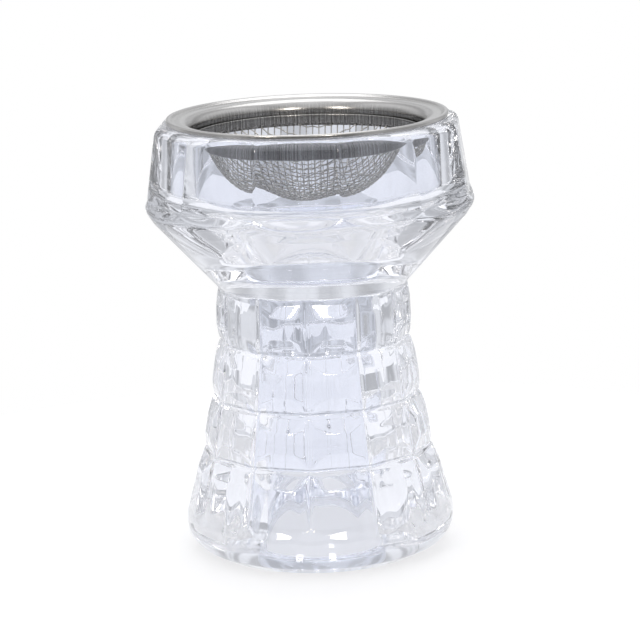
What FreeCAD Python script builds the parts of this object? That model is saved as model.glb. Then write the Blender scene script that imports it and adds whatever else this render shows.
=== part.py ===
import FreeCAD, Part
import math
import os
import Sketcher
from FreeCAD import Placement, Rotation, Vector

# Pressed crystal flower frog with a lift-out woven-wire insert.
# Millimetres, +Z up, origin at the centre of the underside.
# The vertical grooves of the faceted column start at +X and repeat every 30 degrees.

SIZES = [
    # faceted column
    ("facet_count", 12, "columns of cells, and flat panels on the cup"),
    ("crease_level", 66.9, "height of the neck crease"),
    ("row_a_level", 53.3, "upper horizontal groove"),
    ("row_b_level", 39.2, "middle horizontal groove"),
    ("row_c_level", 25.9, "lower horizontal groove"),
    ("crease_rad", 23.5, "groove crossing radius at the crease"),
    ("row_a_rad", 23.8, "groove crossing radius, upper row"),
    ("row_b_rad", 25.9, "groove crossing radius, middle row"),
    ("row_c_rad", 28.4, "groove crossing radius, lower row"),
    ("skirt_level", 7.0, "height where the lowest cells end inside the foot band"),
    ("skirt_rad", 33.5, "groove crossing radius there"),
    ("table_rise", 0.36, "how far a cell table stands out from the groove crossings"),
    ("bevel_run", 4.2, "height of the bevel above and below each table"),
    ("vee_half_angle", 84.0, "half opening angle of the vertical grooves, degrees"),
    ("vee_reach", 2.0, "radial length of the groove cutter"),
    # foot
    ("foot_rad", 33.4, "largest radius of the foot band"),
    ("foot_level", 8.0, "height of that radius"),
    ("foot_top_round", 6.5, "radius of the band above it"),
    ("foot_low_round", 7.5, "radius of the band below it"),
    ("foot_band_top", 14.2, "height where the band meets the column core"),
    ("foot_edge_level", 2.2, "height of the lower edge of the band"),
    ("trim_rad", 36.5, "outer radius of the cutter that trims the cells to the band"),
    ("contact_rad", 26.4, "outer radius of the ring that stands on the table"),
    ("foot_hole_rad", 15.6, "radius of the opening under the foot"),
    ("foot_hole_lead", 0.7, "size of the soft edge around that opening"),
    ("stem_low_rad", 15.4, "radius of the stem hollow near the foot"),
    ("stem_low_level", 10.0, "height of that radius"),
    ("stem_top_rad", 14.4, "radius of the stem hollow at its top"),
    ("stem_top_level", 68.9, "height of the top of the stem hollow"),
    ("core_rad", 20.0, "round core of the column, inside every facet"),
    # cup
    ("cup_rad", 40.35, "largest radius of the cup"),
    ("cup_level", 88.0, "height of that radius"),
    ("cone_top_rad", 38.7, "radius where the cone ends"),
    ("cone_top_level", 84.1, "height where the cone ends"),
    ("belt_round", 5.5, "radius of the belt between cone and panels"),
    ("belt_top_rad", 39.9, "radius where the belt ends"),
    ("belt_top_level", 91.0, "height where the belt ends"),
    ("panel_low_inset", 39.15, "distance of a panel from the axis at its foot"),
    ("panel_low_level", 89.6, "height of that point"),
    ("panel_high_inset", 36.75, "distance of a panel from the axis at the lip"),
    ("panel_shoulder", 2.0, "how far below the lip that point is"),
    ("lip_rad", 38.0, "outer radius below the lip"),
    ("lip_round", 2.6, "radius of the outer edge of the lip"),
    ("glass_top", 107.6, "height of the glass lip"),
    # cup hollow
    ("mouth_rad", 33.0, "radius of the mouth"),
    ("lip_lead", 0.9, "size of the soft inner edge of the lip"),
    ("mouth_taper", 0.4, "how much the cup hollow narrows from the mouth to its foot"),
    ("mouth_floor_level", 90.0, "height of the foot of the cup hollow"),
    ("throat_rad", 16.8, "radius at the top of the sump"),
    ("throat_level", 80.5, "height of the top of the sump"),
    ("sump_rad", 16.0, "radius of the sump at the cup floor"),
    ("cup_floor", 73.6, "height of the cup floor"),
    ("sump_ease", 1.8, "length along each side taken by the rounded corner of the cup floor"),
    ("throat_ease", 1.7, "the same at the top of the sump"),
    ("mouth_floor_ease", 2.9, "the same at the foot of the cup hollow"),
    ("stem_top_ease", 2.2, "the same at the top of the stem hollow"),
    # insert
    ("seat_gap", 0.05, "gap between rim and glass lip"),
    ("sheet_thick", 0.5, "thickness of the rim sheet"),
    ("hem_reach", 1.5, "how far the rim reaches out past the mouth"),
    ("hem_tube_rad", 0.65, "radius of the rolled outer edge"),
    ("collar_gap", 3.9, "gap between the mouth and the outside of the collar"),
    ("collar_drop", 6.0, "how far the collar reaches below the glass lip"),
    ("shoulder_round", 2.8, "outer radius of the bend from rim to collar"),
    ("mesh_thick", 0.6, "thickness of the woven wire cloth over its crowns"),
    ("mesh_edge_drop", 2.6, "how far below the lip the edge of the cloth is"),
    ("mesh_turn_drop", 5.4, "how far below the lip the cloth leaves the collar"),
    ("mesh_depth", 17.0, "depth of the bowl below that level"),
    ("mesh_pole_rad", 0.5, "radius of the flat spot at that point"),
    ("band_thick", 0.5, "thickness of the clamp band"),
    ("band_low_drop", 5.3, "how far below the lip the clamp band ends"),
    ("band_high_drop", 3.0, "how far below the lip the clamp band starts"),
]

OUTWARD = 1
INWARD = -1


def make_sheet(doc):
    """Write every driving size into the spreadsheet, one row each."""
    sheet = doc.addObject("Spreadsheet::Sheet", "Sizes")
    for row, (alias, number, note) in enumerate(SIZES, start=1):
        sheet.set("A%d" % row, alias)
        sheet.set("B%d" % row, str(number))
        sheet.set("C%d" % row, note)
        sheet.setAlias("B%d" % row, alias)
    doc.recompute()
    return sheet


def linked(formula):
    """Turn a formula over size names into one that reads the spreadsheet."""
    names = sorted((alias for alias, _, _ in SIZES), key=len, reverse=True)
    text = formula
    for place, name in enumerate(names):
        text = text.replace(name, "@%d@" % place)
    for place, name in enumerate(names):
        text = text.replace("@%d@" % place, "Sizes." + name)
    return text


def reading(owner, formula):
    """Present value of a formula over size names."""
    return float(owner.evalExpression(linked(formula)))


def origin_plane(body, role):
    """One of the body's own origin planes."""
    for feature in body.Origin.OriginFeatures:
        if feature.Role == role:
            return feature
    raise ValueError("no origin plane " + role)


def new_sketch(body, name, role):
    """Sketch lying on an origin plane of its body."""
    sketch = body.newObject("Sketcher::SketchObject", name)
    sketch.AttachmentSupport = [(origin_plane(body, role), "")]
    sketch.MapMode = "FlatFace"
    return sketch


def pin(sketch, geo, end, across, up, name):
    """Hold one sketch point at two formulas."""
    for kind, formula, suffix in (("DistanceX", across, "_across"), ("DistanceY", up, "_up")):
        spot = sketch.addConstraint(Sketcher.Constraint(kind, geo, end, reading(sketch, formula)))
        sketch.renameConstraint(spot, name + suffix)
        sketch.setExpression("Constraints." + name + suffix, linked(formula))


def arc_middle(start, end, radius, side):
    """Middle point of the arc from start to end that bulges to the given side."""
    chord = end - start
    half = chord.Length / 2
    sagitta = radius - math.sqrt(radius * radius - half * half)
    left = Vector(-chord.y, chord.x, 0).normalize()
    return (start + end) * 0.5 - left * (side * sagitta)


def closed_outline(sketch, corners, rounds):
    """Closed outline, anticlockwise, through corners given as pairs of formulas.

    rounds maps the number of an edge to (radius formula, side) where the edge is an arc.
    """
    points = [Vector(reading(sketch, x), reading(sketch, y), 0) for x, y in corners]
    count = len(points)
    ends = []
    for number in range(count):
        start = points[number]
        end = points[(number + 1) % count]
        if number in rounds:
            radius, side = rounds[number]
            middle = arc_middle(start, end, reading(sketch, radius), side)
            if side == OUTWARD:
                geo = sketch.addGeometry(Part.Arc(start, middle, end), False)
                ends.append((geo, 1, 2))
            else:
                geo = sketch.addGeometry(Part.Arc(end, middle, start), False)
                ends.append((geo, 2, 1))
        else:
            geo = sketch.addGeometry(Part.LineSegment(start, end), False)
            ends.append((geo, 1, 2))
    for number in range(count):
        geo, _, tail = ends[number]
        after, head, _ = ends[(number + 1) % count]
        sketch.addConstraint(Sketcher.Constraint("Coincident", geo, tail, after, head))
    for number, (across, up) in enumerate(corners):
        geo, head, _ = ends[number]
        pin(sketch, geo, head, across, up, "corner_%d" % number)
    for number, (radius, _) in rounds.items():
        geo = ends[number][0]
        spot = sketch.addConstraint(Sketcher.Constraint("Radius", geo, reading(sketch, radius)))
        sketch.renameConstraint(spot, "round_%d" % number)
        sketch.setExpression("Constraints.round_%d" % number, linked(radius))


def eased(corners, reaches):
    """Outline with some corners swapped for arcs tangent to both of their sides.

    reaches maps the number of a corner to (distance from corner to arc ends, side).
    Returns the new corners and the arcs, ready for closed_outline.
    """
    points, rounds = [], {}
    for number, (x, y) in enumerate(corners):
        if number not in reaches:
            points.append((x, y))
            continue
        reach, side = reaches[number]
        ways = []
        for far_x, far_y in (corners[number - 1], corners[(number + 1) % len(corners)]):
            run, climb = "((%s) - (%s))" % (far_x, x), "((%s) - (%s))" % (far_y, y)
            length = "sqrt(%s^2 + %s^2)" % (run, climb)
            ways.append(("(%s / %s)" % (run, length), "(%s / %s)" % (climb, length)))
        cosine = "(%s * %s + %s * %s)" % (ways[0][0], ways[1][0], ways[0][1], ways[1][1])
        rounds[len(points)] = ("%s * sqrt((1 - %s) / (1 + %s))" % (reach, cosine, cosine), side)
        points += [("(%s) + %s * %s" % (x, reach, run), "(%s) + %s * %s" % (y, reach, climb))
                   for run, climb in ways]
    return points, rounds


def turned(body, kind, name, sketch):
    """Revolution or groove of a sketch once around the upright axis."""
    feature = body.newObject("PartDesign::" + kind, name)
    feature.Profile = sketch
    feature.ReferenceAxis = (sketch, ["V_Axis"])
    feature.Angle = 360
    sketch.Visibility = False
    return feature


def polar(body, name, original, axis_sketch):
    """Repeat one feature around the upright axis, once per facet."""
    pattern = body.newObject("PartDesign::PolarPattern", name)
    pattern.Originals = [original]
    pattern.Axis = (axis_sketch, ["N_Axis"])
    pattern.Angle = 360
    pattern.Occurrences = 12
    pattern.setExpression("Occurrences", linked("facet_count"))
    body.Tip = pattern
    return pattern


def new_body(doc, name):
    """Empty body whose label is the part name."""
    body = doc.addObject("PartDesign::Body", name)
    body.Label = name
    return body


def turned_blank(body):
    """Cup, cone, column core and foot band, turned in one piece."""
    sketch = new_sketch(body, "blank_outline", "XZ_Plane")
    corners = [
        ("0", "0"),
        ("contact_rad", "0"),
        ("foot_rad - foot_low_round + sqrt(foot_low_round^2 - (foot_level - foot_edge_level)^2)",
         "foot_edge_level"),
        ("foot_rad", "foot_level"),
        ("foot_rad - foot_top_round + sqrt(foot_top_round^2 - (foot_band_top - foot_level)^2)",
         "foot_band_top"),
        ("core_rad", "foot_band_top"),
        ("core_rad", "crease_level - crease_rad + core_rad"),
        ("cone_top_rad", "cone_top_level"),
        ("cup_rad", "cup_level"),
        ("belt_top_rad", "belt_top_level"),
        ("lip_rad", "glass_top - lip_round"),
        ("lip_rad - lip_round", "glass_top"),
        ("0", "glass_top"),
    ]
    rounds = {
        2: ("foot_low_round", OUTWARD),
        3: ("foot_top_round", OUTWARD),
        7: ("belt_round", OUTWARD),
        8: ("belt_round", OUTWARD),
        10: ("lip_round", OUTWARD),
    }
    closed_outline(sketch, corners, rounds)
    return turned(body, "Revolution", "turned_blank", sketch)


def facet_ring(body, name, inset, level):
    """Regular polygon around the axis, corners on the vertical grooves."""
    sketch = new_sketch(body, name, "XY_Plane")
    sketch.setExpression("AttachmentOffset.Base.z", linked(level))
    count = int(reading(sketch, "facet_count"))
    corner = "(" + inset + ") / cos(180 / facet_count)"
    radius = reading(sketch, corner)
    guide = sketch.addGeometry(Part.Circle(Vector(0, 0, 0), Vector(0, 0, 1), radius), True)
    sketch.addConstraint(Sketcher.Constraint("Coincident", guide, 3, -1, 1))
    spot = sketch.addConstraint(Sketcher.Constraint("Radius", guide, radius))
    sketch.renameConstraint(spot, "corner_radius")
    sketch.setExpression("Constraints.corner_radius", linked(corner))
    turn = 2 * math.pi / count
    ring = [Vector(radius * math.cos(k * turn), radius * math.sin(k * turn), 0) for k in range(count)]
    sides = [sketch.addGeometry(Part.LineSegment(ring[k], ring[(k + 1) % count]), False)
             for k in range(count)]
    for k in range(count):
        after = sides[(k + 1) % count]
        sketch.addConstraint(Sketcher.Constraint("Coincident", sides[k], 2, after, 1))
        sketch.addConstraint(Sketcher.Constraint("PointOnObject", sides[k], 1, guide))
        if k:
            sketch.addConstraint(Sketcher.Constraint("Equal", sides[0], sides[k]))
    sketch.addConstraint(Sketcher.Constraint("PointOnObject", sides[0], 1, -1))
    return sketch


def groove_line(level, upper, lower):
    """Formula for the groove radius at a height between two crossings."""
    return ("(%s_rad + (%s_rad - %s_rad) * (%s_level - (%s)) / (%s_level - %s_level))"
            % (upper, lower, upper, upper, level, upper, lower))


def faceted_column(body):
    """Rows of flat cells: tables with bevels down to the horizontal grooves."""
    rows = ("crease", "row_a", "row_b", "row_c", "skirt")
    rings = [("ring_crease", "crease_rad * cos(180 / facet_count)", "crease_level")]
    for upper, lower in zip(rows[:-1], rows[1:]):
        high = "%s_level - bevel_run" % upper
        low = "%s_level + bevel_run" % lower
        rings.append(("table_top_" + upper, groove_line(high, upper, lower) + " + table_rise", high))
        if lower == "skirt":
            rings.append(("ring_skirt", "skirt_rad + table_rise", "skirt_level"))
            break
        rings.append(("table_foot_" + upper, groove_line(low, upper, lower) + " + table_rise", low))
        rings.append(("ring_" + lower, "%s_rad * cos(180 / facet_count)" % lower, "%s_level" % lower))
    sketches = [facet_ring(body, name, inset, level) for name, inset, level in rings]
    loft = body.newObject("PartDesign::AdditiveLoft", "faceted_column")
    loft.Profile = sketches[0]
    loft.Sections = sketches[1:]
    loft.Ruled = True
    loft.Closed = False
    for sketch in sketches:
        sketch.Visibility = False
    return loft


def vee_section(body, name, apex, level):
    """Triangle that points at the axis, open side outward."""
    sketch = new_sketch(body, name, "XY_Plane")
    sketch.setExpression("AttachmentOffset.Base.z", linked(level))
    corners = [
        (apex, "0"),
        (apex + " + vee_reach", "0 - vee_reach * tan(vee_half_angle)"),
        (apex + " + vee_reach", "vee_reach * tan(vee_half_angle)"),
    ]
    closed_outline(sketch, corners, {})
    return sketch


def upright_grooves(body):
    """Vertical V grooves that follow the flare, one between each pair of cell columns."""
    sections = [
        vee_section(body, "vee_crease", "crease_rad", "crease_level"),
        vee_section(body, "vee_row_a", "row_a_rad", "row_a_level"),
        vee_section(body, "vee_row_b", "row_b_rad", "row_b_level"),
        vee_section(body, "vee_row_c", "row_c_rad", "row_c_level"),
        vee_section(body, "vee_skirt", "skirt_rad", "skirt_level"),
    ]
    groove = body.newObject("PartDesign::SubtractiveLoft", "upright_groove")
    groove.Profile = sections[0]
    groove.Sections = sections[1:]
    groove.Ruled = True
    for sketch in sections:
        sketch.Visibility = False
    return polar(body, "upright_grooves", groove, sections[0])


def foot_trim(body):
    """Trim the lower ends of the cells flush with the round foot band."""
    sketch = new_sketch(body, "trim_outline", "XZ_Plane")
    corners = [
        ("foot_rad - foot_low_round + sqrt(foot_low_round^2 - (foot_level - foot_edge_level)^2)",
         "foot_edge_level"),
        ("trim_rad", "foot_edge_level"),
        ("trim_rad", "foot_band_top + 4"),
        ("foot_rad", "foot_band_top + 4"),
        ("foot_rad", "foot_level"),
    ]
    closed_outline(sketch, corners, {4: ("foot_low_round", INWARD)})
    return turned(body, "Groove", "foot_trim", sketch)


def cup_panels(body):
    """Flat panels of the cup, centred over the vertical grooves."""
    sketch = new_sketch(body, "panel_cutter", "XZ_Plane")
    corners = [
        ("panel_low_inset", "panel_low_level"),
        ("cup_rad + 3", "panel_low_level - 1.4 * (cup_rad + 3 - panel_low_inset)"),
        ("cup_rad + 3", "glass_top + 2"),
        ("panel_high_inset - panel_shoulder - 2", "glass_top + 2"),
        ("panel_high_inset", "glass_top - panel_shoulder"),
    ]
    closed_outline(sketch, corners, {})
    cut = body.newObject("PartDesign::Pocket", "cup_panel")
    cut.Profile = sketch
    cut.Type = "Length"
    cut.Midplane = True
    cut.setExpression("Length", linked("cup_rad"))
    sketch.Visibility = False
    flat = new_sketch(body, "panel_axis", "XY_Plane")
    flat.addGeometry(Part.Point(Vector(0, 0, 0)), True)
    flat.addConstraint(Sketcher.Constraint("Coincident", 0, 1, -1, 1))
    return polar(body, "cup_panels", cut, flat)


def cup_hollow(body):
    """Mouth, cup hollow and the small sump above the solid neck, cut in one turn."""
    sketch = new_sketch(body, "cup_hollow_outline", "XZ_Plane")
    corners = [
        ("0", "cup_floor"),
        ("sump_rad", "cup_floor"),
        ("throat_rad", "throat_level"),
        ("mouth_rad - mouth_taper", "mouth_floor_level"),
        ("mouth_rad", "glass_top - lip_lead"),
        ("mouth_rad + lip_lead", "glass_top"),
        ("mouth_rad + lip_lead", "glass_top + 1"),
        ("0", "glass_top + 1"),
    ]
    reaches = {
        1: ("sump_ease", OUTWARD),
        2: ("throat_ease", INWARD),
        3: ("mouth_floor_ease", OUTWARD),
    }
    closed_outline(sketch, *eased(corners, reaches))
    return turned(body, "Groove", "cup_hollow", sketch)


def stem_hollow(body):
    """Hollow that runs up the stem from the underside to the solid neck."""
    sketch = new_sketch(body, "stem_hollow_outline", "XZ_Plane")
    corners = [
        ("0", "0 - 1"),
        ("foot_hole_rad + foot_hole_lead", "0 - 1"),
        ("foot_hole_rad + foot_hole_lead", "0"),
        ("foot_hole_rad", "foot_hole_lead"),
        ("stem_low_rad", "stem_low_level"),
        ("stem_top_rad", "stem_top_level"),
        ("0", "stem_top_level"),
    ]
    closed_outline(sketch, *eased(corners, {5: ("stem_top_ease", OUTWARD)}))
    return turned(body, "Groove", "stem_hollow", sketch)


def make_glass(doc):
    """Cup, faceted column and foot, one pressed piece of glass."""
    body = new_body(doc, "glass_body")
    turned_blank(body)
    faceted_column(body)
    doc.recompute()
    upright_grooves(body)
    doc.recompute()
    foot_trim(body)
    doc.recompute()
    cup_panels(body)
    doc.recompute()
    cup_hollow(body)
    stem_hollow(body)
    doc.recompute()
    return body


def make_rim(doc):
    """Rim sheet with rolled outer edge and the collar that drops into the mouth."""
    body = new_body(doc, "rim_ring")
    sketch = new_sketch(body, "rim_outline", "XZ_Plane")
    under = "glass_top + seat_gap"
    over = "glass_top + seat_gap + sheet_thick"
    bend = "shoulder_round"
    corners = [
        ("mouth_rad - collar_gap - sheet_thick", "glass_top - collar_drop"),
        ("mouth_rad - collar_gap", "glass_top - collar_drop"),
        ("mouth_rad - collar_gap", under + " + sheet_thick - " + bend),
        ("mouth_rad - collar_gap + " + bend + " - sheet_thick", under),
        ("mouth_rad + hem_reach - 2 * hem_tube_rad", under),
        ("mouth_rad + hem_reach - hem_tube_rad", under),
        ("mouth_rad + hem_reach", under + " + hem_tube_rad"),
        ("mouth_rad + hem_reach - hem_tube_rad", under + " + 2 * hem_tube_rad"),
        ("mouth_rad + hem_reach - 2.6 * hem_tube_rad", over + " + 0.3"),
        ("mouth_rad - collar_gap + " + bend + " - sheet_thick", over),
        ("mouth_rad - collar_gap - sheet_thick", under + " + sheet_thick - " + bend),
    ]
    rounds = {
        2: (bend + " - sheet_thick", INWARD),
        5: ("hem_tube_rad", OUTWARD),
        6: ("hem_tube_rad", OUTWARD),
        9: (bend, OUTWARD),
    }
    closed_outline(sketch, corners, rounds)
    turned(body, "Revolution", "rim", sketch)
    return body


def make_mesh(doc):
    """Woven wire bowl as a thin shell: skirt held in the collar, then a spherical cap."""
    body = new_body(doc, "mesh_bowl")
    sketch = new_sketch(body, "mesh_outline", "XZ_Plane")
    outer = "mouth_rad - collar_gap - sheet_thick"
    inner = "mouth_rad - collar_gap - sheet_thick - mesh_thick"
    turn = "glass_top - mesh_turn_drop"
    edge = "glass_top - mesh_edge_drop"
    floor = "glass_top - mesh_turn_drop - mesh_depth"
    corners = [
        ("0", floor),
        ("mesh_pole_rad", floor),
        (outer, turn),
        (outer, edge),
        (inner, edge),
        (inner, turn),
        ("mesh_pole_rad", floor + " + mesh_thick"),
        ("0", floor + " + mesh_thick"),
    ]
    rounds = {
        1: ("((%s)^2 + mesh_depth^2) / (2 * mesh_depth)" % outer, OUTWARD),
        5: ("((%s)^2 + (mesh_depth - mesh_thick)^2) / (2 * (mesh_depth - mesh_thick))" % inner, INWARD),
    }
    closed_outline(sketch, corners, rounds)
    turned(body, "Revolution", "mesh", sketch)
    return body


def make_band(doc):
    """Clamp band that holds the cloth against the collar."""
    body = new_body(doc, "clamp_band")
    sketch = new_sketch(body, "band_outline", "XZ_Plane")
    outer = "mouth_rad - collar_gap - sheet_thick - mesh_thick"
    inner = outer + " - band_thick"
    corners = [
        (inner, "glass_top - band_low_drop"),
        (outer, "glass_top - band_low_drop"),
        (outer, "glass_top - band_high_drop"),
        (inner, "glass_top - band_high_drop"),
    ]
    closed_outline(sketch, corners, {})
    turned(body, "Revolution", "band", sketch)
    return body


def check(doc):
    """Stop if any object is in error or any part has no valid shape."""
    for item in doc.Objects:
        if "Invalid" in item.State or "Error" in item.State:
            raise RuntimeError("object in error: " + item.Name)
    for item in doc.Objects:
        if item.TypeId == "PartDesign::Body":
            if item.Shape.isNull() or not item.Shape.isValid():
                raise RuntimeError("bad shape: " + item.Label)
            if len(item.Shape.Solids) != 1:
                raise RuntimeError("not one solid: " + item.Label)


def main():
    doc = FreeCAD.newDocument("flower_frog")
    make_sheet(doc)
    bodies = [make_glass(doc), make_rim(doc), make_mesh(doc), make_band(doc)]
    for body in bodies:
        body.Placement = Placement(Vector(0, 0, 0), Rotation())
    doc.recompute()
    check(doc)
    os.makedirs("parts", exist_ok=True)
    for body in bodies:
        body.Shape.exportStep("parts/%s.step" % body.Label)
        box = body.Shape.BoundBox
        print(body.Label, "volume %.1f" % body.Shape.Volume,
              "box %.2f %.2f %.2f" % (box.XLength, box.YLength, box.ZLength))


main()
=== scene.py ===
import math

import bmesh
import bpy
import numpy as np
from bpy.props import FloatProperty, FloatVectorProperty, IntProperty, PointerProperty
from mathutils import Matrix, Vector


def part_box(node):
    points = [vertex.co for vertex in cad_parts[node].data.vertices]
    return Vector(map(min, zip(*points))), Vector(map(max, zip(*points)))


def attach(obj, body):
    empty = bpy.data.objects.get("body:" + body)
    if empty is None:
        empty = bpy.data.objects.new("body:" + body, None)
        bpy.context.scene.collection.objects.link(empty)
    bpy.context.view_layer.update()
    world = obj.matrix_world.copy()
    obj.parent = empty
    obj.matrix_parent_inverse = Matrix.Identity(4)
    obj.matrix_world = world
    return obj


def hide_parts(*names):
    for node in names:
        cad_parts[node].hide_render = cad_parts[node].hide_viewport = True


bl_info = {
    "name": "Crystal flower frog",
    "version": (1, 0, 0),
    "blender": (4, 5, 0),
    "location": "View3D > Sidebar > Flower frog",
    "description": "Faceted crystal flower frog with a lift-out rim and a woven wire bowl",
    "category": "Object",
}

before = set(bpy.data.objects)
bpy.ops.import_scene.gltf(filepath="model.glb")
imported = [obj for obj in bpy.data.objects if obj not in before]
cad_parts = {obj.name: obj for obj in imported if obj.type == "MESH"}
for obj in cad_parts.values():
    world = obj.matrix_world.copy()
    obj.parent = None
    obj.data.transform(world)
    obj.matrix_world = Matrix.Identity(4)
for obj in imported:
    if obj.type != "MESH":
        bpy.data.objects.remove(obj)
MM = 0.001


def packed_box(node):
    """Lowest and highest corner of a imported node, in millimetres."""
    low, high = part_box(node)
    return Vector(low) / MM, Vector(high) / MM


GLASS_LOW, GLASS_HIGH = packed_box("glass_body")
RIM_LOW, RIM_HIGH = packed_box("rim_ring")
MESH_LOW, MESH_HIGH = packed_box("mesh_bowl")
BAND_LOW, BAND_HIGH = packed_box("clamp_band")
LIP = GLASS_HIGH.z

# All sizes below are in millimetres unless they say otherwise.

# Faceted stem. Crossings of the grooves: (height, radius), from the neck crease to the foot.
CROSSINGS = [(66.9, 23.5), (53.3, 23.8), (39.2, 25.9), (25.9, 28.4), (7.0, 33.5)]
CREASE = CROSSINGS[0][0]          # height of the neck crease
SECTOR = math.radians(30.0)       # one column of cells
TABLE_RISE = 0.36                 # how far a cell's table stands out
BEVEL_RUN = 4.2                   # height of the bevel above and below a table
BEVEL_SOFT = 0.28                 # step of the averaging that softens the bevels
VEE_TILT = math.radians(6.0)      # how far the sides of an upright groove lean
VEE_SOFT = 0.35                   # width of the groove's round bottom
CHANNEL_HALF = 0.8                # half width of the fine channel in a groove
CHANNEL_DEPTH = 0.42
CORE_RAD = 20.0                   # round core of the stem

# Foot: a rounded band around the lowest cells.
FOOT_RAD = 33.4
FOOT_LEVEL = 8.0
FOOT_TOP_ROUND = 6.5
FOOT_LOW_ROUND = 7.5
FOOT_TOP = 14.4
FOOT_EDGE = (30.6, 2.2)           # radius and height of the band's lower edge
CONTACT_RAD = 26.4                # the ring that stands on the table
FOOT_SOFT = 0.5                   # rounding where the band meets the cells
FOOT_SOFT_OUT = 0.25              # rounding at the band's largest radius

# Hollow of the stem: (radius, height, corner radius), from its top to the foot.
STEM_HOLLOW = [(14.4, 68.9, 2.2), (15.4, 10.0, 9.0), (15.6, 0.0, 0.8)]

# Cup: cone, belt, flats and lip.
CONE_FOOT = 63.4                  # height where the cone would meet the core
CONE_RISE = 1.107                 # height gained for each millimetre of radius
CONE_TOP = (38.7, 84.1)           # radius and height
CONE_SOFT = 0.9
STEM_TOP = 69.0                   # the stem's cells end inside the cone here
BELT_BULGE = (40.5, 86.9, 3.5)    # radius, height, corner radius
BELT_TOP = (40.2, 91.0)           # radius and height
FLAT_LEVEL = 89.6                 # height of a flat's foot
FLAT_INSET = 39.15                # distance of the flat from the axis there
FLAT_LEAN = 0.15                  # how much the flat leans in for each millimetre of height
FLAT_UNDERCUT = 1.4               # height for each millimetre that the flat runs out below its foot
FLAT_LOW = 80.0                   # lowest height at which the flats matter
FLAT_SOFT = 0.9
LIP_FALL = 2.1                    # rounding of a flat into the lip
LIP_RAD = 37.85
LIP_ROUND = 2.6
MOUTH_RAD = 33.0
MOUTH_LEVEL = 97.0                # height where the mouth's wall starts to curve in
# Hollow of the cup below that: (radius, height, corner radius).
CUP_HOLLOW = [(32.6, 90.0, 5.0), (16.8, 80.5, 3.0), (16.0, 73.6, 2.0)]
AXIS_GAP = 0.02                   # radius of the first and last ring of points

# Insert.
SHEET = 0.5                       # thickness of rim and clamp band
SEAT_GAP = 0.05                   # gap between rim and glass lip
COLLAR_RAD = MESH_HIGH.x + SHEET  # outside of the collar
CLOTH_HALF = 0.3                  # half the thickness of the woven cloth
CLOTH_TURN = LIP - 5.4            # height where the cloth leaves the collar
CRIMP_SHADE_LINES = 70.0                # fineness of the upright painted shade lines on the collar, standing in for the shade of crimp ripples
CRIMP_SHADE_TONES = (0.30, 0.80)        # darkest and lightest of those painted shade lines
SHADE_BELOW = (105.0, 107.3)       # painted shade: below the first height the collar is darkened, and between these heights it turns bright
WANDER = 0.10                     # how far a wire strays from its straight line
CRIMPS = 112                      # ridges around the clamp band
CRIMP_DEPTH = 0.16


# ---------------------------------------------------------------- settings

class FROG_PG_glass(bpy.types.PropertyGroup):
    """Sizes and colour of the crystal."""
    sectors: IntProperty(name="Columns", description="Cell columns around the stem and flats on the cup",
                         default=12, min=3)
    steps: IntProperty(name="Steps per column", description="Mesh divisions across one column",
                       default=44, min=8)
    step_height: FloatProperty(name="Step height", description="Mesh step along the outline, millimetres",
                               default=0.30, min=0.1)
    edge_round: FloatProperty(name="Edge rounding", description="Softness of the pressed edges, millimetres",
                              default=0.5, min=0.05)
    tint: FloatVectorProperty(name="Tint", description="Colour of the crystal", subtype="COLOR",
                              size=3, default=(0.875, 0.892, 0.945), min=0, max=1)
    ior: FloatProperty(name="Refractive index", description="Refractive index of the crystal", default=1.52)


class FROG_PG_steel(bpy.types.PropertyGroup):
    """Colours and finish of the steel."""
    rim_colour: FloatVectorProperty(name="Rim colour", description="Satin stainless steel", subtype="COLOR",
                                    size=3, default=(0.49, 0.482, 0.472), min=0, max=1)
    wire_colour: FloatVectorProperty(name="Wire colour", description="Drawn stainless wire", subtype="COLOR",
                                     size=3, default=(0.42, 0.41, 0.39), min=0, max=1)
    rim_roughness: FloatProperty(name="Rim roughness", description="Softness of reflections on the rim",
                                 default=0.24, min=0, max=1)


class FROG_PG_cloth(bpy.types.PropertyGroup):
    """Sizes of the woven wire cloth."""
    pitch: FloatProperty(name="Wire pitch", description="Distance from wire to wire, millimetres",
                         default=1.5875)
    wire: FloatProperty(name="Wire thickness", description="Wire diameter, millimetres", default=0.30)
    sides: IntProperty(name="Wire sides", description="Sides of each wire's section", default=6, min=4)


class FROG_PG_studio(bpy.types.PropertyGroup):
    """Floor, light and camera."""
    floor_colour: FloatVectorProperty(name="Floor colour", description="Pale studio floor", subtype="COLOR",
                                      size=3, default=(0.4, 0.4, 0.41), min=0, max=1)
    azimuth: FloatProperty(name="Camera azimuth", description="Degrees round the object", default=4.4)
    elevation: FloatProperty(name="Camera elevation", description="Degrees above the horizon", default=12.67)
    distance: FloatProperty(name="Camera distance", description="Metres from the aim point", default=0.724)


# ---------------------------------------------------------------- small tools

def smooth_min(a, b, soft):
    """Smaller of two values, with the meeting rounded over the given width."""
    h = np.clip(0.5 + 0.5 * (b - a) / soft, 0, 1)
    return b + (a - b) * h - soft * h * (1 - h)


def smooth_max(a, b, soft):
    """Larger of two values, rounded where they meet."""
    return -smooth_min(-a, -b, soft)


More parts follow.
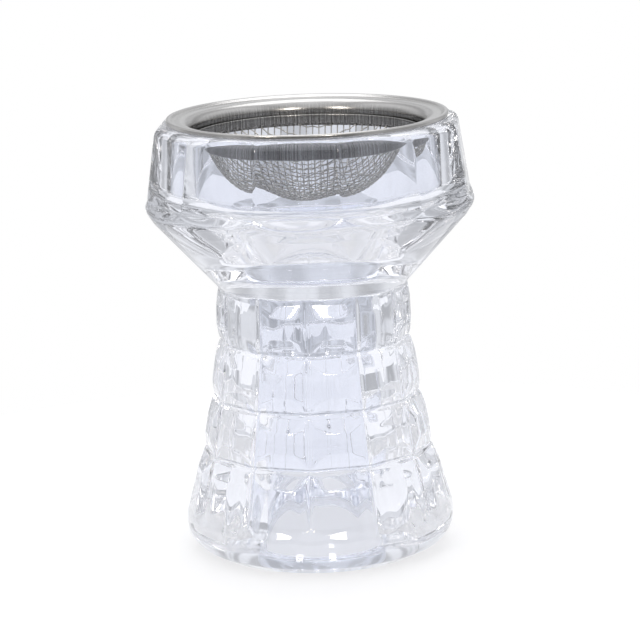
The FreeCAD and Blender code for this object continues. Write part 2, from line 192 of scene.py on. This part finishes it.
def rounded_path(points, step):
    """Points (r, z, corner radius) joined by lines with round corners, at even steps."""
    path = []
    count = len(points)
    for number, (r, z, radius) in enumerate(points):
        here = np.array([r, z], float)
        if radius <= 0 or number in (0, count - 1):
            path.append(here)
            continue
        before = np.array(points[number - 1][:2], float)
        after = np.array(points[number + 1][:2], float)
        inward = (before - here) / np.linalg.norm(before - here)
        outward = (after - here) / np.linalg.norm(after - here)
        half = math.acos(max(-1.0, min(1.0, float(inward @ outward)))) / 2
        reach = radius / math.tan(half)
        start, end = here + inward * reach, here + outward * reach
        middle = (inward + outward) / np.linalg.norm(inward + outward)
        centre = here + middle * (radius / math.sin(half))
        first = math.atan2(*(start - centre)[::-1])
        last = math.atan2(*(end - centre)[::-1])
        turn = (last - first + math.pi) % (2 * math.pi) - math.pi
        pieces = max(3, int(abs(turn) * radius / (step * 0.6)))
        for k in range(pieces + 1):
            a = first + turn * k / pieces
            path.append(centre + radius * np.array([math.cos(a), math.sin(a)]))
    even = [path[0]]
    for here, after in zip(path[:-1], path[1:]):
        length = float(np.linalg.norm(after - here))
        pieces = max(1, int(round(length / step)))
        even += [here + (after - here) * k / pieces for k in range(1, pieces + 1)]
    return np.array(even)


def arc_points(centre_r, centre_z, radius, first, last, step):
    """Points along an arc, angles in degrees."""
    count = max(3, int(abs(math.radians(last - first)) * radius / step))
    angles = np.radians(np.linspace(first, last, count + 1))
    return [(centre_r + radius * math.cos(a), centre_z + radius * math.sin(a)) for a in angles]


def grid_mesh(name, rings, closed_ends):
    """Mesh from rings of points, given as an array of ring x column x 3, in millimetres."""
    count, columns, _ = rings.shape
    points = rings.reshape(-1, 3) * MM
    ring, column = np.meshgrid(np.arange(count - 1), np.arange(columns), indexing="ij")
    after = (column + 1) % columns
    faces = np.stack([ring * columns + column, ring * columns + after,
                      (ring + 1) * columns + after, (ring + 1) * columns + column], -1).reshape(-1, 4)
    faces = [tuple(int(i) for i in face) for face in faces]
    points = [tuple(p) for p in points]
    if closed_ends:
        for start, flip in ((0, True), ((count - 1) * columns, False)):
            middle = len(points)
            block = rings.reshape(-1, 3)[start:start + columns].mean(0) * MM
            points.append(tuple(block))
            for k in range(columns):
                a, b = start + k, start + (k + 1) % columns
                faces.append((b, a, middle) if flip else (a, b, middle))
    mesh = bpy.data.meshes.new(name)
    mesh.from_pydata(points, [], faces)
    mesh.validate()
    mesh.polygons.foreach_set("use_smooth", [True] * len(mesh.polygons))
    return mesh


def place(name, mesh, material, body):
    """Put a mesh in the scene, give it its finish and let it ride on a body."""
    obj = bpy.data.objects.new(name, mesh)
    bpy.context.scene.collection.objects.link(obj)
    obj.data.materials.clear()
    obj.data.materials.append(material)
    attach(obj, body)
    return obj


def new_material(name):
    """Empty node material with its output and principled shader."""
    material = bpy.data.materials.new(name)
    material.use_nodes = True
    return material, material.node_tree.nodes, material.node_tree.links


# ---------------------------------------------------------------- finishes

def ramp_between(nodes, links, source, low, high, first, last):
    """Map one value onto another range, held at both ends."""
    step = nodes.new("ShaderNodeMapRange")
    step.inputs["From Min"].default_value = low
    step.inputs["From Max"].default_value = high
    step.inputs["To Min"].default_value = first
    step.inputs["To Max"].default_value = last
    links.new(source, step.inputs["Value"])
    return step.outputs["Result"]


def crystal_finish(colour, ior):
    """Clear crystal with a faint cool tint."""
    material, nodes, links = new_material("crystal")
    shader = nodes["Principled BSDF"]
    shader.inputs["Base Color"].default_value = (*colour, 1)
    shader.inputs["Roughness"].default_value = 0.0
    shader.inputs["IOR"].default_value = ior
    shader.inputs["Transmission Weight"].default_value = 1.0
    return material


def paint_shade_below(nodes, links, place_on, colour, heights):
    """Painted shade: darken a colour below a height, with fine upright painted shade lines, standing in for
    the shade of crimp ripples, in the dark part.
    """
    split = nodes.new("ShaderNodeSeparateXYZ")
    links.new(place_on, split.inputs["Vector"])
    bright = ramp_between(nodes, links, split.outputs["Z"], heights[0] * MM, heights[1] * MM, 0.0, 1.0)
    angle = nodes.new("ShaderNodeMath")
    angle.operation = "ARCTAN2"
    links.new(split.outputs["Y"], angle.inputs[0])
    links.new(split.outputs["X"], angle.inputs[1])
    lines = nodes.new("ShaderNodeTexNoise")
    lines.noise_dimensions = "1D"
    lines.inputs["Scale"].default_value = CRIMP_SHADE_LINES
    links.new(angle.outputs["Value"], lines.inputs["W"])
    dark = ramp_between(nodes, links, lines.outputs["Fac"], 0.35, 0.65, *CRIMP_SHADE_TONES)
    tone = nodes.new("ShaderNodeMix")
    tone.inputs["B"].default_value = 1.0
    links.new(bright, tone.inputs["Factor"])
    links.new(dark, tone.inputs["A"])
    shade = nodes.new("ShaderNodeMix")
    shade.data_type = "RGBA"
    shade.blend_type = "MULTIPLY"
    shade.inputs["Factor"].default_value = 1.0
    links.new(colour, shade.inputs["A"])
    links.new(tone.outputs["Result"], shade.inputs["B"])
    return shade.outputs["Result"]


def steel_finish(name, colour, roughness, grain, shade_below=None):
    """Satin steel: fine turned lines in the roughness and a shallow bump.

    The last argument gives two heights in millimetres: painted shade darkens the collar below them and fades
    out between them, so the steel turns bright above.
    """
    material, nodes, links = new_material(name)
    shader = nodes["Principled BSDF"]
    shader.inputs["Metallic"].default_value = 1.0
    place_node = nodes.new("ShaderNodeTexCoord")
    stretch = nodes.new("ShaderNodeMapping")
    stretch.inputs["Scale"].default_value = grain
    links.new(place_node.outputs["Object"], stretch.inputs["Vector"])
    noise = nodes.new("ShaderNodeTexNoise")
    noise.inputs["Scale"].default_value = 900
    noise.inputs["Detail"].default_value = 4
    links.new(stretch.outputs["Vector"], noise.inputs["Vector"])
    spread = nodes.new("ShaderNodeMapRange")
    spread.inputs["To Min"].default_value = roughness * 0.75
    spread.inputs["To Max"].default_value = roughness * 1.3
    links.new(noise.outputs["Fac"], spread.inputs["Value"])
    links.new(spread.outputs["Result"], shader.inputs["Roughness"])
    tone = nodes.new("ShaderNodeMapRange")
    tone.inputs["To Min"].default_value = 0.93
    tone.inputs["To Max"].default_value = 1.05
    links.new(noise.outputs["Fac"], tone.inputs["Value"])
    mix = nodes.new("ShaderNodeMix")
    mix.data_type = "RGBA"
    mix.blend_type = "MULTIPLY"
    mix.inputs["Factor"].default_value = 1.0
    mix.inputs["A"].default_value = (*colour, 1)
    links.new(tone.outputs["Result"], mix.inputs["B"])
    finished = mix.outputs["Result"]
    # Painted shade: the steel is darkened below the given heights, with upright painted shade lines.
    if shade_below:
        finished = paint_shade_below(nodes, links, place_node.outputs["Object"], finished, shade_below)
    links.new(finished, shader.inputs["Base Color"])
    bump = nodes.new("ShaderNodeBump")
    bump.inputs["Strength"].default_value = 0.06
    bump.inputs["Distance"].default_value = 0.0002
    links.new(noise.outputs["Fac"], bump.inputs["Height"])
    links.new(bump.outputs["Normal"], shader.inputs["Normal"])
    return material


# ---------------------------------------------------------------- crystal

def stem_inset(z):
    """Distance of the cell tables and their bevels from the axis, at a height."""
    heights, insets = [], []
    for (high, high_r), (low, low_r) in zip(CROSSINGS[:-1], CROSSINGS[1:]):
        slope = (low_r - high_r) / (high - low)
        heights += [high, high - BEVEL_RUN]
        insets += [high_r * math.cos(SECTOR / 2), high_r + slope * BEVEL_RUN + TABLE_RISE]
        if (low, low_r) != CROSSINGS[-1]:
            heights.append(low + BEVEL_RUN)
            insets.append(low_r - slope * BEVEL_RUN + TABLE_RISE)
    heights.append(CROSSINGS[-1][0])
    insets.append(CROSSINGS[-1][1] + TABLE_RISE)
    heights, insets = np.array(heights[::-1]), np.array(insets[::-1])
    spread = np.linspace(-1.6, 1.6, 9)
    weight = np.exp(-spread ** 2)
    total = sum(w * np.interp(z + s * BEVEL_SOFT, heights, insets) for s, w in zip(spread, weight))
    return total / weight.sum()


def groove_channel(distance):
    """Depth of the fine rounded channel pressed along the middle of a groove."""
    across = np.clip(np.abs(distance) / CHANNEL_HALF, 0, 1)
    return CHANNEL_DEPTH * np.cos(across * math.pi / 2) ** 2


def cone_radius(z):
    """Radius of the cone under the cup."""
    return CORE_RAD + (z - CONE_FOOT) / CONE_RISE


def stem_radius(theta, z, soft):
    """Radius of the faceted stem: tables, bevels and grooves, with foot band and cone."""
    gap = (theta + SECTOR / 2) % SECTOR - SECTOR / 2
    off_centre = SECTOR / 2 - np.abs(gap)
    table = stem_inset(z) / np.cos(off_centre)
    heights = np.array([c[0] for c in CROSSINGS][::-1])
    radii = np.array([c[1] for c in CROSSINGS][::-1])
    apex = np.interp(z, heights, radii)
    side = np.sqrt(gap ** 2 + (VEE_SOFT / apex) ** 2)
    vee = apex * math.cos(VEE_TILT) / np.cos(side + VEE_TILT)
    radius = smooth_min(table, vee, soft) - groove_channel(gap * apex)
    for level, _ in CROSSINGS[1:-1]:
        radius = radius - groove_channel(z - level)
    bulge = np.sqrt(np.maximum(0.0, FOOT_TOP_ROUND ** 2 - (z - FOOT_LEVEL) ** 2))
    band = FOOT_RAD - FOOT_TOP_ROUND + bulge
    radius = smooth_max(radius, np.where(z < FOOT_TOP, band, CORE_RAD), FOOT_SOFT)
    radius = smooth_min(radius, np.full_like(radius, FOOT_RAD), FOOT_SOFT_OUT)
    above = np.where(z > CREASE, radius - (z - CREASE) * 3.0, radius)
    return smooth_max(above, cone_radius(z), CONE_SOFT)


def cup_flat(theta, z):
    """Radius of the cup's flats, centred over the vertical grooves."""
    gap = (theta + SECTOR / 2) % SECTOR - SECTOR / 2
    above = z - FLAT_LEVEL
    below = np.maximum(above, FLAT_LOW - FLAT_LEVEL) / FLAT_UNDERCUT
    inset = FLAT_INSET - np.where(above > 0, above * FLAT_LEAN, below)
    over = np.clip(z - (LIP - LIP_FALL), 0, LIP_FALL)
    inset = inset - (LIP_FALL - np.sqrt(LIP_FALL ** 2 - over ** 2))
    return inset / np.cos(gap)


def crystal_outline(step):
    """Outline of the crystal from the top of the stem's hollow to the cup's floor: (r, z, zone)."""
    rows = []
    stem_top, cup_floor = STEM_HOLLOW[0][1], CUP_HOLLOW[-1][1]
    under = rounded_path([(AXIS_GAP, stem_top, 0), *STEM_HOLLOW, (CONTACT_RAD, 0.0, 0.8), (*FOOT_EDGE, 0)],
                         step * 1.6)
    rows += [(r, z, "plain") for r, z in under]
    low = arc_points(FOOT_RAD - FOOT_LOW_ROUND, FOOT_LEVEL, FOOT_LOW_ROUND, -50.7, -2.0, step)
    rows += [(r, z, "plain") for r, z in low[1:]]
    for z in np.arange(FOOT_LEVEL, STEM_TOP, step):
        rows.append((0.0, float(z), "stem"))
    for z in np.arange(STEM_TOP, CONE_TOP[1], step * 1.3):
        rows.append((cone_radius(z), float(z), "cup"))
    belt = rounded_path([(*CONE_TOP, 0), BELT_BULGE, (*BELT_TOP, 0)], step)
    rows += [(r, z, "cup") for r, z in belt]
    mouth_foot = (MOUTH_RAD - 0.2, MOUTH_LEVEL, 0)
    wall = rounded_path([(*BELT_TOP, 0), (LIP_RAD, LIP, LIP_ROUND), (MOUTH_RAD + 0.9, LIP, 0.9),
                         (MOUTH_RAD, LIP - 1.2, 0.8), mouth_foot], step)
    rows += [(r, z, "cup") for r, z in wall[1:]]
    inner = rounded_path([mouth_foot, *CUP_HOLLOW, (AXIS_GAP, cup_floor, 0)], step * 1.5)
    rows += [(r, z, "plain") for r, z in inner[1:]]
    return rows


def crystal_mesh(settings):
    """Closed mesh of the crystal, built ring by ring."""
    columns = settings.sectors * settings.steps
    theta = np.arange(columns) * 2 * math.pi / columns
    rings = []
    for r, z, zone in crystal_outline(settings.step_height):
        if zone == "plain":
            radius = np.full(columns, r)
        elif zone == "stem":
            radius = stem_radius(theta, np.full(columns, z), settings.edge_round)
        else:
            radius = smooth_min(np.full(columns, r), cup_flat(theta, z), FLAT_SOFT)
        rings.append(np.stack([radius * np.cos(theta), radius * np.sin(theta), np.full(columns, z)], -1))
    return grid_mesh("crystal", np.array(rings), True)


class FROG_OT_crystal(bpy.types.Operator):
    """Build the pressed crystal: cup, faceted stem and foot"""
    bl_idname = "frog.crystal"
    bl_label = "Crystal"

    def execute(self, context):
        settings = context.scene.frog_glass
        finish = crystal_finish(settings.tint, settings.ior)
        obj = place("crystal_goblet", crystal_mesh(settings), finish, "glass")
        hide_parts("glass_body")
        return {"FINISHED"}


# ---------------------------------------------------------------- rim

def turned_mesh(name, outline, columns):
    """Closed ring turned from a closed outline of (r, z) points."""
    theta = np.arange(columns) * 2 * math.pi / columns
    outline = np.array(list(outline) + [outline[0]])
    rings = np.stack([outline[:, :1] * np.cos(theta), outline[:, :1] * np.sin(theta),
                      np.repeat(outline[:, 1:], columns, 1)], -1)
    mesh = grid_mesh(name, rings, False)
    work = bmesh.new()
    work.from_mesh(mesh)
    bmesh.ops.remove_doubles(work, verts=work.verts, dist=1e-7)
    bmesh.ops.recalc_face_normals(work, faces=work.faces)
    work.to_mesh(mesh)
    work.free()
    mesh.polygons.foreach_set("use_smooth", [True] * len(mesh.polygons))
    return mesh


def rim_outline():
    """Section of the rim: rolled edge, sloping flange, bend and collar."""
    outer = RIM_HIGH.x
    base = LIP + SEAT_GAP
    collar, low = COLLAR_RAD, RIM_LOW.z
    path = rounded_path([
        (collar, low + 0.8, 0), (collar, base + 0.02, 2.3),
        (outer - 1.2, base + 0.02, 0.3), (outer - 0.25, base + 0.0, 0.3), (outer, base + 0.3, 0.3),
        (outer, base + 1.0, 0.3), (outer - 0.3, base + 1.28, 0.4), (outer - 1.0, base + 1.22, 0.5),
        (outer - 1.7, base + 0.66, 0.6), (collar - SHEET, base + SHEET, 2.8),
        (collar - SHEET, low, 0.15), (collar, low, 0.15), (collar, low + 0.8, 0)], 0.25)
    return path[:-1]


class FROG_OT_rim(bpy.types.Operator):
    """Build the satin steel rim with its rolled edge and collar"""
    bl_idname = "frog.rim"
    bl_label = "Rim"

    def execute(self, context):
        steel = context.scene.frog_steel
        # The rim's collar gets painted shade and painted shade lines below the given heights.
        finish = steel_finish("satin_rim", steel.rim_colour, steel.rim_roughness, (1, 1, 12), SHADE_BELOW)
        obj = place("rolled_rim", turned_mesh("rolled_rim", rim_outline(), 240), finish, "insert")
        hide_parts("rim_ring")
        return {"FINISHED"}


class FROG_OT_clamp(bpy.types.Operator):
    """Build the crimped band that holds the cloth"""
    bl_idname = "frog.clamp"
    bl_label = "Clamp band"

    def execute(self, context):
        steel = context.scene.frog_steel
        # The band gets the same painted shade and painted shade lines below the given heights.
        finish = steel_finish("satin_band", steel.rim_colour, steel.rim_roughness, (1, 1, 6), SHADE_BELOW)
        outer = BAND_HIGH.x
        low, high = BAND_LOW.z, BAND_HIGH.z
        inner, seam = outer - SHEET, low + 0.5
        outline = rounded_path([(outer, seam, 0), (outer, high, 0.12), (inner, high, 0.2),
                                (inner, low, 0.2), (outer, low, 0.12), (outer, seam, 0)], 0.2)[:-1]
        mesh = turned_mesh("clamp_ring", outline, 720)
        for vertex in mesh.vertices:
            r = math.hypot(vertex.co.x, vertex.co.y) / MM
            if r > outer - SHEET / 2:
                continue
            angle = math.atan2(vertex.co.y, vertex.co.x)
            height = (vertex.co.z / MM - low) / (high - low)
            depth = CRIMP_DEPTH * max(0.0, 1 - height * 1.5)
            wave = 0.5 + 0.5 * math.cos(angle * CRIMPS + 1.7 * math.sin(angle * 9) + math.sin(angle * 23))
            scale = 1 + depth * wave / r
            vertex.co.x *= scale
            vertex.co.y *= scale
        obj = place("clamp_ring", mesh, finish, "insert")
        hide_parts("clamp_band")
        return {"FINISHED"}


# ---------------------------------------------------------------- wire cloth

def bowl_height(r, floor, turn, rim):
    """Height of the bowl's middle surface at a radius."""
    depth = turn - floor
    ball = (rim ** 2 + depth ** 2) / (2 * depth)
    return floor + ball - np.sqrt(np.maximum(ball ** 2 - r ** 2, 0))


def wire_tube(path, radius, sides):
    """Rings of points around a path."""
    ahead = np.gradient(path, axis=0)
    ahead /= np.linalg.norm(ahead, axis=1, keepdims=True)
    up = np.array([0, 0, 1.0])
    side = np.cross(ahead, up)
    side /= np.linalg.norm(side, axis=1, keepdims=True)
    top = np.cross(side, ahead)
    turn = np.arange(sides) * 2 * math.pi / sides
    return (path[:, None, :] + radius * (np.cos(turn)[None, :, None] * side[:, None, :]
                                         + np.sin(turn)[None, :, None] * top[:, None, :]))


def cloth_mesh(settings):
    """Every wire of the plain-woven bowl, pressed to the bowl's shape."""
    pitch, wire, sides = settings.pitch, settings.wire, settings.sides
    rim = MESH_HIGH.x - CLOTH_HALF
    floor, turn = MESH_LOW.z + CLOTH_HALF, CLOTH_TURN
    reach = rim - wire / 2
    lines = int(reach / pitch) + 1
    points, faces = [], []
    for direction in (0, 1):
        for number in range(-lines, lines):
            across = (number + 0.5) * pitch
            if abs(across) > reach - 0.3:
                continue
            half = math.sqrt(reach ** 2 - across ** 2)
            count = max(8, int(2 * half / (pitch / 6)))
            along = np.linspace(-half, half, count)
            parity = number % 2 if direction == 0 else (number + 1) % 2
            wave = np.cos(math.pi * (along / pitch - 0.5) + math.pi * parity)
            wander = WANDER * np.sin(along * 0.21 + number * 1.3 + direction * 2.0)
            r = np.hypot(along, across)
            z = bowl_height(r, floor, turn, rim) + wave * wire * 0.5
            flat = across + wander * (1 - (r / rim) ** 4)
            path = np.stack([along, flat, z] if direction == 0 else [flat, along, z], 1)
            ring = wire_tube(path, wire / 2, sides)
            base = len(points)
            points += [tuple(p * MM) for p in ring.reshape(-1, 3)]
            for k in range(count - 1):
                for s in range(sides):
                    a = base + k * sides + s
                    b = base + k * sides + (s + 1) % sides
                    faces.append((a, b, b + sides, a + sides))
            faces.append(tuple(base + s for s in range(sides))[::-1])
            faces.append(tuple(base + (count - 1) * sides + s for s in range(sides)))
    mesh = bpy.data.meshes.new("wire_cloth")
    mesh.from_pydata(points, [], faces)
    work = bmesh.new()
    work.from_mesh(mesh)
    bmesh.ops.recalc_face_normals(work, faces=work.faces)
    work.to_mesh(mesh)
    work.free()
    mesh.polygons.foreach_set("use_smooth", [True] * len(mesh.polygons))
    return mesh


class FROG_OT_cloth(bpy.types.Operator):
    """Build the woven wire bowl, wire by wire"""
    bl_idname = "frog.cloth"
    bl_label = "Wire cloth"

    def execute(self, context):
        steel = context.scene.frog_steel
        finish = steel_finish("drawn_wire", steel.wire_colour, 0.28, (1, 1, 1))
        obj = place("wire_cloth", cloth_mesh(context.scene.frog_cloth), finish, "insert")
        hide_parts("mesh_bowl")
        return {"FINISHED"}


# ---------------------------------------------------------------- studio

FLOOR_RADIUS = 0.17           # metres
FLOOR_GLOW = 0.62             # lifts the floor to white
LIGHT_BOUNCES = 32            # enough for light that turns many times inside the crystal
SURROUND_COLOUR = (0.97, 0.98, 1.0, 1)
# Soft upright bands of the surroundings: (distance sideways, brightness).
SIDE_BANDS = [(0.0, 1.0), (0.07, 1.0), (0.14, 0.76), (0.20, 0.76), (0.30, 1.0), (0.42, 0.60), (0.52, 0.60),
              (0.66, 1.0), (0.84, 1.0), (0.92, 0.65), (1.0, 0.65)]
LAMP_COLOUR = (1.0, 0.93, 0.86)
LENS = 164.2                  # millimetres
SENSOR_WIDTH = 36             # millimetres
AIM_HEIGHT = 0.054            # metres
ROLL = math.radians(1.96)     # the camera leans a little to one side
SHIFT = (0.00875, 0.02)       # places the object a little low and to the left in the picture


def area_light(name, location, aim, size, power, colour):
    """Soft rectangular lamp aimed at a point."""
    lamp = bpy.data.lights.new(name, "AREA")
    lamp.shape = "RECTANGLE"
    lamp.size, lamp.size_y = size
    lamp.energy = power
    lamp.color = colour
    obj = bpy.data.objects.new(name, lamp)
    obj.location = location
    obj.rotation_euler = (Vector(aim) - Vector(location)).to_track_quat("-Z", "Y").to_euler()
    bpy.context.scene.collection.objects.link(obj)


def studio_world():
    """White behind the object; bright above and dimmer in front for light and reflections."""
    world = bpy.data.worlds.new("studio")
    bpy.context.scene.world = world
    world.use_nodes = True
    nodes, links = world.node_tree.nodes, world.node_tree.links
    nodes.clear()
    out = nodes.new("ShaderNodeOutputWorld")
    backdrop = nodes.new("ShaderNodeBackground")
    backdrop.inputs["Color"].default_value = (1, 1, 1, 1)
    around = nodes.new("ShaderNodeBackground")
    around.inputs["Color"].default_value = SURROUND_COLOUR
    ray = nodes.new("ShaderNodeLightPath")
    mix = nodes.new("ShaderNodeMixShader")
    place_node = nodes.new("ShaderNodeTexCoord")
    split = nodes.new("ShaderNodeSeparateXYZ")
    links.new(place_node.outputs["Generated"], split.inputs["Vector"])
    height = ramp_between(nodes, links, split.outputs["Z"], 0.15, 0.9, 0.85, 1.25)
    front = ramp_between(nodes, links, split.outputs["Y"], -0.80, -0.45, 0.14, 1.0)
    level = nodes.new("ShaderNodeMath")
    level.operation = "ABSOLUTE"
    links.new(split.outputs["Z"], level.inputs[0])
    clear = ramp_between(nodes, links, level.outputs["Value"], 0.22, 0.34, 0.0, 1.0)
    darker = nodes.new("ShaderNodeMath")
    darker.operation = "MAXIMUM"
    links.new(front, darker.inputs[0])
    links.new(clear, darker.inputs[1])
    sideways = nodes.new("ShaderNodeMath")
    sideways.operation = "ABSOLUTE"
    links.new(split.outputs["X"], sideways.inputs[0])
    bands = nodes.new("ShaderNodeValToRGB")
    bands.color_ramp.interpolation = "EASE"
    bands.color_ramp.elements.remove(bands.color_ramp.elements[1])
    stops = bands.color_ramp.elements
    for number, (place_on, tone) in enumerate(SIDE_BANDS):
        stop = stops[0] if number == 0 else stops.new(place_on)
        stop.color = (tone, tone, tone, 1)
    links.new(sideways.outputs["Value"], bands.inputs["Fac"])
    strength = height
    for factor in (darker.outputs["Value"], bands.outputs["Color"]):
        product = nodes.new("ShaderNodeMath")
        product.operation = "MULTIPLY"
        links.new(strength, product.inputs[0])
        links.new(factor, product.inputs[1])
        strength = product.outputs["Value"]
    links.new(strength, around.inputs["Strength"])
    links.new(ray.outputs["Is Camera Ray"], mix.inputs["Fac"])
    links.new(around.outputs["Background"], mix.inputs[1])
    links.new(backdrop.outputs["Background"], mix.inputs[2])
    links.new(mix.outputs["Shader"], out.inputs["Surface"])


def studio_floor(colour):
    """Round pale floor, wide enough to fill the view around the object."""
    mesh = bpy.data.meshes.new("floor")
    work = bmesh.new()
    bmesh.ops.create_circle(work, cap_ends=True, segments=96, radius=FLOOR_RADIUS)
    work.to_mesh(mesh)
    work.free()
    floor = bpy.data.objects.new("floor", mesh)
    bpy.context.scene.collection.objects.link(floor)
    material, nodes, links = new_material("pale_floor")
    shader = nodes["Principled BSDF"]
    shader.inputs["Base Color"].default_value = (*colour, 1)
    shader.inputs["Roughness"].default_value = 0.9
    shader.inputs["Specular IOR Level"].default_value = 0.1
    shader.inputs["Emission Color"].default_value = (1, 1, 1, 1)
    shader.inputs["Emission Strength"].default_value = FLOOR_GLOW
    mesh.materials.append(material)


def studio_camera(settings):
    """Camera at the viewing angle, tilted a little about its own axis."""
    azimuth, elevation = math.radians(settings.azimuth), math.radians(settings.elevation)
    back = Vector((math.sin(azimuth) * math.cos(elevation), -math.cos(azimuth) * math.cos(elevation),
                   math.sin(elevation)))
    aim = Vector((0, 0, AIM_HEIGHT))
    camera = bpy.data.cameras.new("camera")
    camera.lens = LENS
    camera.sensor_width = SENSOR_WIDTH
    camera.clip_start = 0.05
    camera.clip_end = 20
    obj = bpy.data.objects.new("camera", camera)
    turn = (-back).to_track_quat("-Z", "Y").to_matrix().to_4x4() @ Matrix.Rotation(-ROLL, 4, "Z")
    obj.matrix_world = Matrix.Translation(aim + back * settings.distance) @ turn
    camera.shift_x, camera.shift_y = SHIFT
    bpy.context.scene.collection.objects.link(obj)
    bpy.context.scene.camera = obj


class FROG_OT_studio(bpy.types.Operator):
    """Set the floor, the soft lamps and the camera"""
    bl_idname = "frog.studio"
    bl_label = "Studio"

    def execute(self, context):
        settings = context.scene.frog_studio
        studio_world()
        studio_floor(settings.floor_colour)
        area_light("lamp_left", (-0.42, -0.75, 0.34), (0, 0, 0.1), (0.16, 0.16), 1.5, LAMP_COLOUR)
        area_light("lamp_right", (0.30, -0.80, 0.34), (0, 0, 0.1), (0.16, 0.16), 1.5, LAMP_COLOUR)
        area_light("lamp_top", (0.0, 0.35, 1.1), (0, 0, 0.05), (0.9, 0.7), 3.0, (1.0, 1.0, 1.0))
        studio_camera(settings)
        context.scene.view_settings.view_transform = "Standard"
        context.scene.cycles.max_bounces = LIGHT_BOUNCES
        context.scene.cycles.transmission_bounces = LIGHT_BOUNCES
        context.scene.cycles.glossy_bounces = LIGHT_BOUNCES // 2
        return {"FINISHED"}


class FROG_PT_panel(bpy.types.Panel):
    """Buttons for every piece"""
    bl_idname = "FROG_PT_panel"
    bl_label = "Flower frog"
    bl_space_type = "VIEW_3D"
    bl_region_type = "UI"
    bl_category = "Flower frog"

    def draw(self, context):
        for operator in OPERATORS:
            self.layout.operator(operator.bl_idname)


GROUPS = (FROG_PG_glass, FROG_PG_steel, FROG_PG_cloth, FROG_PG_studio)
OPERATORS = (FROG_OT_crystal, FROG_OT_rim, FROG_OT_clamp, FROG_OT_cloth, FROG_OT_studio)


def register():
    for item in (*GROUPS, *OPERATORS, FROG_PT_panel):
        bpy.utils.register_class(item)
    bpy.types.Scene.frog_glass = PointerProperty(type=FROG_PG_glass)
    bpy.types.Scene.frog_steel = PointerProperty(type=FROG_PG_steel)
    bpy.types.Scene.frog_cloth = PointerProperty(type=FROG_PG_cloth)
    bpy.types.Scene.frog_studio = PointerProperty(type=FROG_PG_studio)


def unregister():
    del bpy.types.Scene.frog_glass
    del bpy.types.Scene.frog_steel
    del bpy.types.Scene.frog_cloth
    del bpy.types.Scene.frog_studio
    for item in reversed((*GROUPS, *OPERATORS, FROG_PT_panel)):
        bpy.utils.unregister_class(item)


def main():
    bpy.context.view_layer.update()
    register()
    bpy.ops.frog.crystal()
    bpy.ops.frog.rim()
    bpy.ops.frog.clamp()
    bpy.ops.frog.cloth()
    bpy.ops.frog.studio()


if __name__ == "__main__":
    main()
